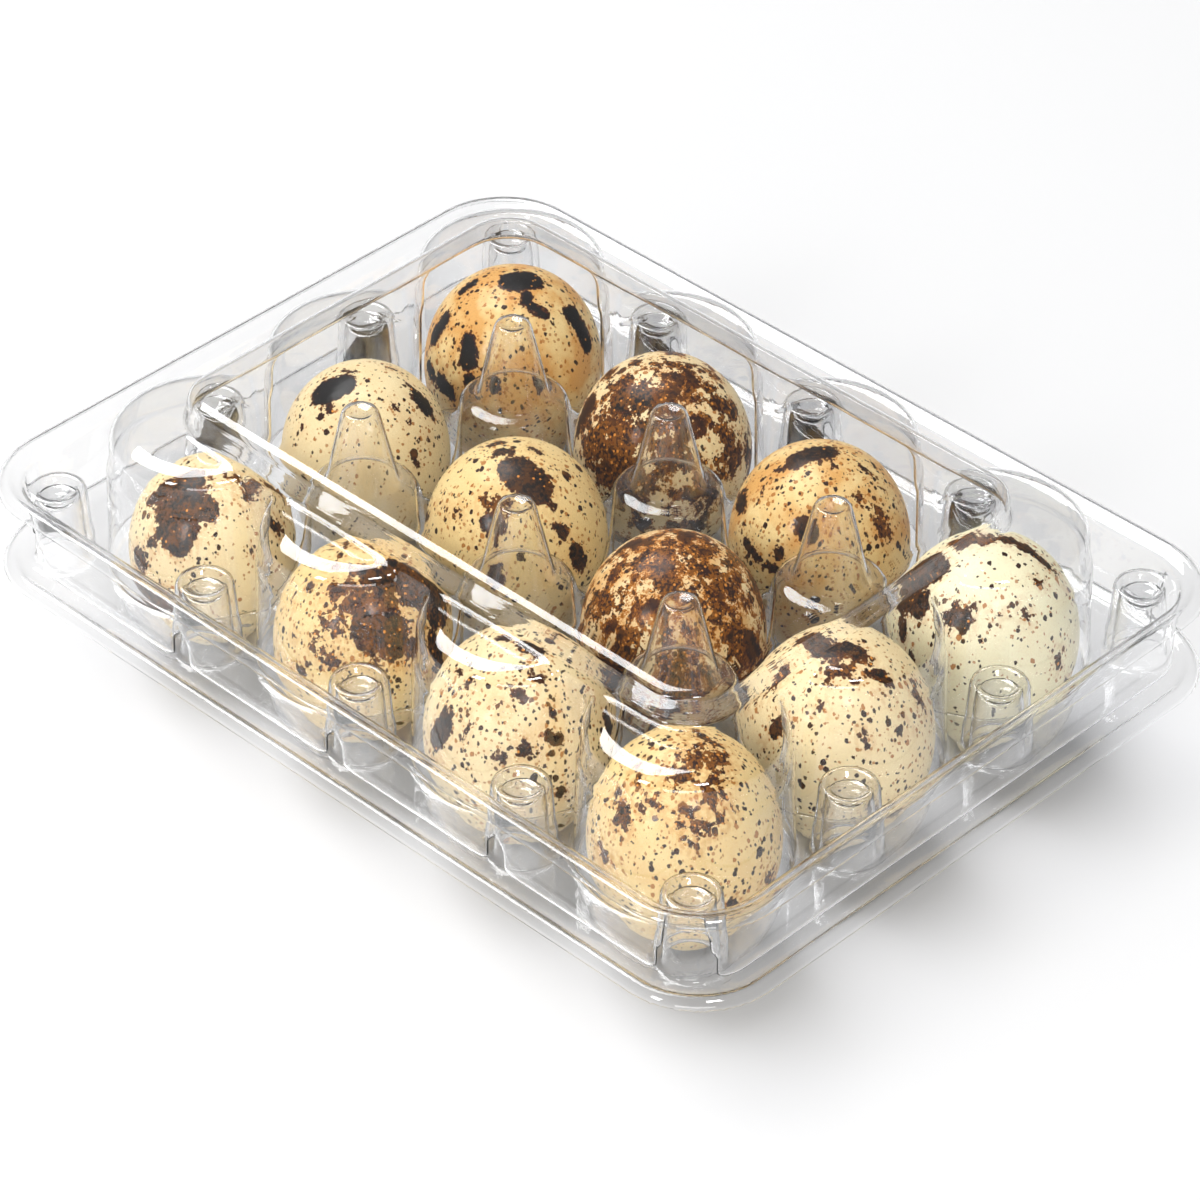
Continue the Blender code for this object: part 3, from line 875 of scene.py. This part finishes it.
def makeMarbleGroup():
    # torn marbling over much of a shell, golden at its edges and umber in its middle
    inputs = {"Vector": "Vector", "Cover": 0.0, "Grain": 0.0, "Edge": 0.0}
    outputs = {"Color": "Color", "Mask": "Float"}
    group, start, end = newGroup("marbling", "ShaderNodeTree", inputs, outputs)
    edge = start.outputs["Edge"]
    cloud = noise(group, start.outputs["Vector"], start.outputs["Grain"], *noises["marble"])
    deep = compute(group, "SUBTRACT", cloud, compute(group, "SUBTRACT", 1.0, start.outputs["Cover"]))
    colour = blend(group, remap(group, deep, 0.0, edge), shades["golden"], shades["chestnut"])
    darker = remap(group, compute(group, "DIVIDE", deep, edge), *ranges["umber"])
    colour = blend(group, darker, colour, shades["umber"])
    group.links.new(colour, end.inputs["Color"])
    group.links.new(remap(group, deep, *ranges["marbleEdge"]), end.inputs["Mask"])
    return group


raggedGroup = makeRaggedGroup()
strokeGroup = makeStrokeGroup()
speckGroup = makeSpeckGroup()
pigmentGroup = makePigmentGroup()
marbleGroup = makeMarbleGroup()


def layStrokes(tree, vector, strokes):
    # the distance to the nearest of an egg's strokes
    distance = marks["noStroke"]
    for *ends, width in strokes:
        stroke = useGroup(tree, strokeGroup, **{
            "Vector": vector,
            "From": seenAt(*ends[:2]),
            "To": seenAt(*ends[-2:]),
            "Width": width * marks["strokeSwell"],
            "So Far": distance,
        })
        distance = stroke.outputs["Distance"]
    return distance


def foldedBack(tree, ball):
    # how far to move a place on the side away from the photo's camera to mirror it to the side it sees
    facing = cameraAxes()[2]
    facing.z /= egg["lengthRatio"]
    facing.normalize()
    beyond = compute(tree, "MINIMUM", computeVector(tree, "DOT_PRODUCT", ball, facing), 0.0)
    return computeVector(tree, "SCALE", facing, scale=compute(tree, "MULTIPLY", beyond, -2.0))


def makeGround(tree, ball, seeded, look):
    # the colour under the marks: clouded with tan, with painted shade towards the bottom, and mealy
    upward = tree.nodes.new("ShaderNodeSeparateXYZ")
    tree.links.new(ball, upward.inputs[0])
    cloud = remap(tree, noise(tree, seeded, *noises["tan"]), *ranges["tan"])
    tanned = compute(tree, "MULTIPLY", cloud, look["tanned"])
    ground = blend(tree, tanned, shades[look["ground"]], shades["tan"])
    # painted shade: darker and duller towards the bottom of the egg
    under = remap(tree, upward.outputs["Z"], *ranges["underside"])
    ground = blend(tree, compute(tree, "MULTIPLY", under, egg["paintedShadeShare"]), ground, shades["underside"])
    mealy = remap(tree, noise(tree, seeded, *noises["meal"]), *ranges["meal"])
    return blend(tree, mealy, ground, shades["golden"])


def eggCentre(name):
    # its name ends in its column and row
    column, row = (int(part) for part in name.split("_")[1:])
    x, y = (
        (number - (count + 1) / 2) * pitch
        for number, count, pitch in zip((column, row), pack["eggs"], pack["pitch"])
    )
    return Vector((x, y, egg["foot"] + eggLooks[name]["width"] * egg["lengthRatio"] / 2)) * mm


def makeEggShell(name, number):
    look = eggLooks[name]
    material, shader = newMaterial(name + "Shell", egg["shader"])
    tree = material.node_tree
    nodes, links = tree.nodes, tree.links
    half = look["width"] / 2 * mm
    place = nodes.new("ShaderNodeTexCoord").outputs["Object"]
    offset = computeVector(tree, "SUBTRACT", place, eggCentre(name))
    ball = computeVector(tree, "DIVIDE", offset, (half, half, half * egg["lengthRatio"]))
    seedX, seedY = egg["markSeeds"]
    seeded = computeVector(tree, "ADD", ball, (number * seedX, number * seedY, 0))
    torn = useGroup(tree, raggedGroup, Vector=ball, Seed=number * egg["tearSeed"]).outputs["Vector"]
    shift = computeVector(tree, "SUBTRACT", torn, ball)
    nudge = computeVector(tree, "SCALE", shift, scale=marks["dotTear"])
    dotted = computeVector(tree, "ADD", seeded, nudge)
    folded = computeVector(tree, "ADD", computeVector(tree, "ADD", ball, foldedBack(tree, ball)), shift)
    strokes = {kind: layStrokes(tree, folded, look[kind]) for kind in ("brown", "dark")}
    nearest = compute(tree, "MINIMUM", strokes["brown"], strokes["dark"])

    colour = makeGround(tree, ball, seeded, look)
    crowded = remap(tree, nearest, *ranges["crowd"])
    for cells, kind, share, size, shade, strength in speckLayers:
        amount = compute(tree, "ADD", crowded, look[kind] * share)
        specks = useGroup(tree, speckGroup, Vector=dotted, Scale=cells, Amount=amount, Size=size)
        mask = compute(tree, "MULTIPLY", specks.outputs["Mask"], strength)
        colour = blend(tree, mask, colour, shades[shade])
    plainStain, mottledStain, marbledStain = marks["stain"]
    strength = plainStain + look["mottle"] * mottledStain
    if look.get("marbling"):
        strength = marbledStain
        cover, grain, edge = look["marbling"]
        marbling = useGroup(tree, marbleGroup, Vector=torn, Cover=cover, Grain=grain, Edge=edge)
        colour = blend(tree, marbling.outputs["Mask"], colour, marbling.outputs["Color"])
    broken = remap(tree, noise(tree, seeded, *noises["stain"]), *ranges["stainBreak"])
    stained = compute(tree, "MULTIPLY", remap(tree, nearest, *marks["stainReach"], 0.0, strength), broken)
    colour = blend(tree, stained, colour, shades["golden"])
    # brown strokes are always mottled and open, and dark ones only as far as the egg is
    brown = [max(look["mottle"], least) for least in marks["brownLeast"]]
    black = [look["mottle"] * share for share in marks["darkShare"]]
    for kind, dark, (mottle, holes) in (("brown", "umber", brown), ("dark", "black", black)):
        pigment = useGroup(
            tree, pigmentGroup, Vector=seeded, Distance=strokes[kind], Mottle=mottle,
            Dark=(*shades[dark], 1), Holes=holes,
        )
        colour = blend(tree, pigment.outputs["Mask"], colour, pigment.outputs["Color"])
    links.new(colour, shader.inputs["Base Color"])

    pores = nodes.new("ShaderNodeBump")
    pores.inputs["Strength"].default_value = egg["poreStrength"]
    pores.inputs["Distance"].default_value = egg["poreDepth"] * mm
    links.new(noise(tree, seeded, *noises["pores"]), pores.inputs["Height"])
    links.new(pores.outputs["Normal"], shader.inputs["Normal"])
    # light that only bounces on from the shell needs no marks
    swapShader(material, "Is Diffuse Ray", "ShaderNodeBsdfDiffuse", shades["cream"])
    return material


def makeEggTree():
    # an egg of revolution, blunter at its top, a little uneven, leaning and set in its place
    inputs = {
        "Geometry": "Geometry", "Width": 0.0, "Length Ratio": 0.0, "Bluntness": 0.0, "Lumps": 0.0,
        "Seed": 0.0, "Lean": "Vector", "Centre": "Vector", "Material": "Material",
    }
    tree, start, end = newGroup("eggForm", "GeometryNodeTree", inputs, {"Geometry": "Geometry"})
    nodes, links = tree.nodes, tree.links
    ball = nodes.new("GeometryNodeMeshUVSphere")
    ball.inputs["Segments"].default_value = egg["segments"]
    ball.inputs["Rings"].default_value = egg["segments"] * 2 // 3
    ball.inputs["Radius"].default_value = 1
    place = nodes.new("GeometryNodeInputPosition").outputs[0]
    parts = nodes.new("ShaderNodeSeparateXYZ")
    links.new(place, parts.inputs[0])
    swell = compute(tree, "MULTIPLY_ADD", parts.outputs["Z"], start.outputs["Bluntness"], 1.0)
    half = compute(tree, "MULTIPLY", start.outputs["Width"], 0.5)
    around = compute(tree, "MULTIPLY", half, swell)
    size = nodes.new("ShaderNodeCombineXYZ")
    links.new(around, size.inputs["X"])
    links.new(around, size.inputs["Y"])
    links.new(compute(tree, "MULTIPLY", half, start.outputs["Length Ratio"]), size.inputs["Z"])
    shaped = computeVector(tree, "MULTIPLY", place, size.outputs[0])
    seeded = computeVector(tree, "ADD", place, start.outputs["Seed"])
    uneven = compute(tree, "SUBTRACT", noise(tree, seeded, *noises["lumps"]), 0.5)
    swelling = compute(tree, "MULTIPLY", uneven, start.outputs["Lumps"])
    shaped = computeVector(tree, "ADD", shaped, computeVector(tree, "SCALE", place, scale=swelling))
    setPlace = nodes.new("GeometryNodeSetPosition")
    links.new(ball.outputs["Mesh"], setPlace.inputs["Geometry"])
    links.new(shaped, setPlace.inputs["Position"])
    move = nodes.new("GeometryNodeTransform")
    links.new(setPlace.outputs[0], move.inputs["Geometry"])
    links.new(start.outputs["Centre"], move.inputs["Translation"])
    links.new(start.outputs["Lean"], move.inputs["Rotation"])
    smooth = nodes.new("GeometryNodeSetShadeSmooth")
    links.new(move.outputs[0], smooth.inputs["Geometry"])
    real = nodes.new("GeometryNodeRealizeInstances")
    links.new(smooth.outputs[0], real.inputs[0])
    paint = nodes.new("GeometryNodeSetMaterial")
    links.new(real.outputs[0], paint.inputs["Geometry"])
    links.new(start.outputs["Material"], paint.inputs["Material"])
    links.new(paint.outputs[0], end.inputs[0])
    return tree


def grown(name, tree, values):
    # the plain mesh that a tree makes from these values
    work = placed(name + "Work", bpy.data.meshes.new(name + "Work"))
    modifier = work.modifiers.new("grow", "NODES")
    modifier.node_group = tree
    for item in tree.interface.items_tree:
        if item.in_out == "INPUT" and item.name in values:
            modifier[item.identifier] = values[item.name]
    mesh = meshFrom(work)
    work.modifiers.remove(modifier)
    bpy.data.objects.remove(work)
    return placed(name, mesh)


def makeEggs():
    tree = makeEggTree()
    for number, (name, look) in enumerate(eggLooks.items()):
        piece = grown(name + "Egg", tree, {
            "Width": look["width"] * mm,
            "Length Ratio": egg["lengthRatio"],
            "Bluntness": egg["bluntness"],
            "Lumps": egg["lumps"] * mm,
            "Seed": number * egg["lumpSeed"],
            "Lean": [math.radians(lean) for lean in (*look["lean"], 0)],
            "Centre": list(eggCentre(name)),
            "Material": makeEggShell(name, number),
        })
        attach(piece, "root")
        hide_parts(name)
    print("eggs made")


# the shells; light that bounces between eggs and floor passes straight through them
trayPiece = pressedShell("trayShell", traySpace, tray)
trayPiece.data.materials.append(makeClearPlastic("trayPlastic"))
trayPiece.visible_diffuse = False
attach(trayPiece, "root")
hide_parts("tray")
print("tray made")

lidPiece = pressedShell("lidShell", lidSpace, lid)
lidPiece.data.materials.append(makeClearPlastic("lidPlastic"))
lidPiece.visible_diffuse = False
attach(lidPiece, "root")
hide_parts("lid")
print("lid made")

makeEggs()


# setting

setting = {
    "floorReach": 6,
    "floorShader": {
        "Base Color": (0.71, 0.71, 0.713, 1.0),
        "Roughness": 0.7,
        "Specular IOR Level": 0.1,
    },
    "horizon": (0.12, 0.122, 0.125),
    "zenith": (0.22, 0.222, 0.225),
    "lamps": {
        # azimuth, elevation, distance, width and height in metres, power in watts
        "overBack": (176, 61, 1.3, 0.72, 0.82, 17.5),
        "keyRight": (-25, 54, 1.3, 0.24, 0.24, 5.5),
        "sideLeft": (-90, 32, 1.2, 0.20, 0.36, 4.5),
        "frontLow": (-48, 12, 1.3, 0.9, 0.35, 4.5),
    },
    # a ray crosses many thin walls here
    "bounces": {
        "max_bounces": 14,
        "transmission_bounces": 14,
        "transparent_max_bounces": 20,
        "diffuse_bounces": 1,
        "glossy_bounces": 3,
    },
}


def aim(made, place, back):
    made.location = place
    made.rotation_mode = "QUATERNION"
    made.rotation_quaternion = (-back).to_track_quat("-Z", "Y")


def makeCamera():
    back = cameraAxes()[2]
    data = bpy.data.cameras.new("camera")
    data.lens = cameraLook["lens"]
    data.sensor_width = cameraLook["sensor"]
    data.clip_start, data.clip_end = cameraLook["clip"]
    camera = placed("camera", data)
    aim(camera, (Vector(cameraLook["aim"]) + back * cameraLook["distance"]) * mm, back)
    bpy.context.scene.camera = camera


def makeFloor():
    mesh = bpy.data.meshes.new("floor")
    reach = setting["floorReach"]
    corners = [(-reach, -reach, 0), (reach, -reach, 0), (reach, reach, 0), (-reach, reach, 0)]
    mesh.from_pydata(corners, [], [(0, 1, 2, 3)])
    floor = placed("floor", mesh)
    mesh.materials.append(newMaterial("floorPaper", setting["floorShader"])[0])


def makeLamp(name, azimuth, elevation, distance, width, height, power):
    data = bpy.data.lights.new(name, "AREA")
    data.shape = "RECTANGLE"
    data.size = width
    data.size_y = height
    data.energy = power
    back = direction(azimuth, elevation)
    aim(placed(name, data), back * distance, back)


def makeWorld():
    # dim near the horizon, so that clear edges show grey against the pale floor
    world = bpy.data.worlds.new("studio")
    bpy.context.scene.world = world
    world.use_nodes = True
    tree = world.node_tree
    place = tree.nodes.new("ShaderNodeTexCoord").outputs["Generated"]
    parts = tree.nodes.new("ShaderNodeSeparateXYZ")
    tree.links.new(place, parts.inputs[0])
    height = remap(tree, parts.outputs["Z"], *ranges["sky"])
    shade = blend(tree, height, setting["horizon"], setting["zenith"])
    tree.links.new(shade, tree.nodes["Background"].inputs["Color"])


def makeSetting():
    makeWorld()
    for name, values in setting["lamps"].items():
        makeLamp(name, *values)
    scene = bpy.context.scene
    scene.view_settings.view_transform = "Standard"
    for kind, count in setting["bounces"].items():
        setattr(scene.cycles, kind, count)
    scene.cycles.use_light_tree = False  # quicker for a few lamps


makeCamera()
makeFloor()
makeSetting()
print("setting made")
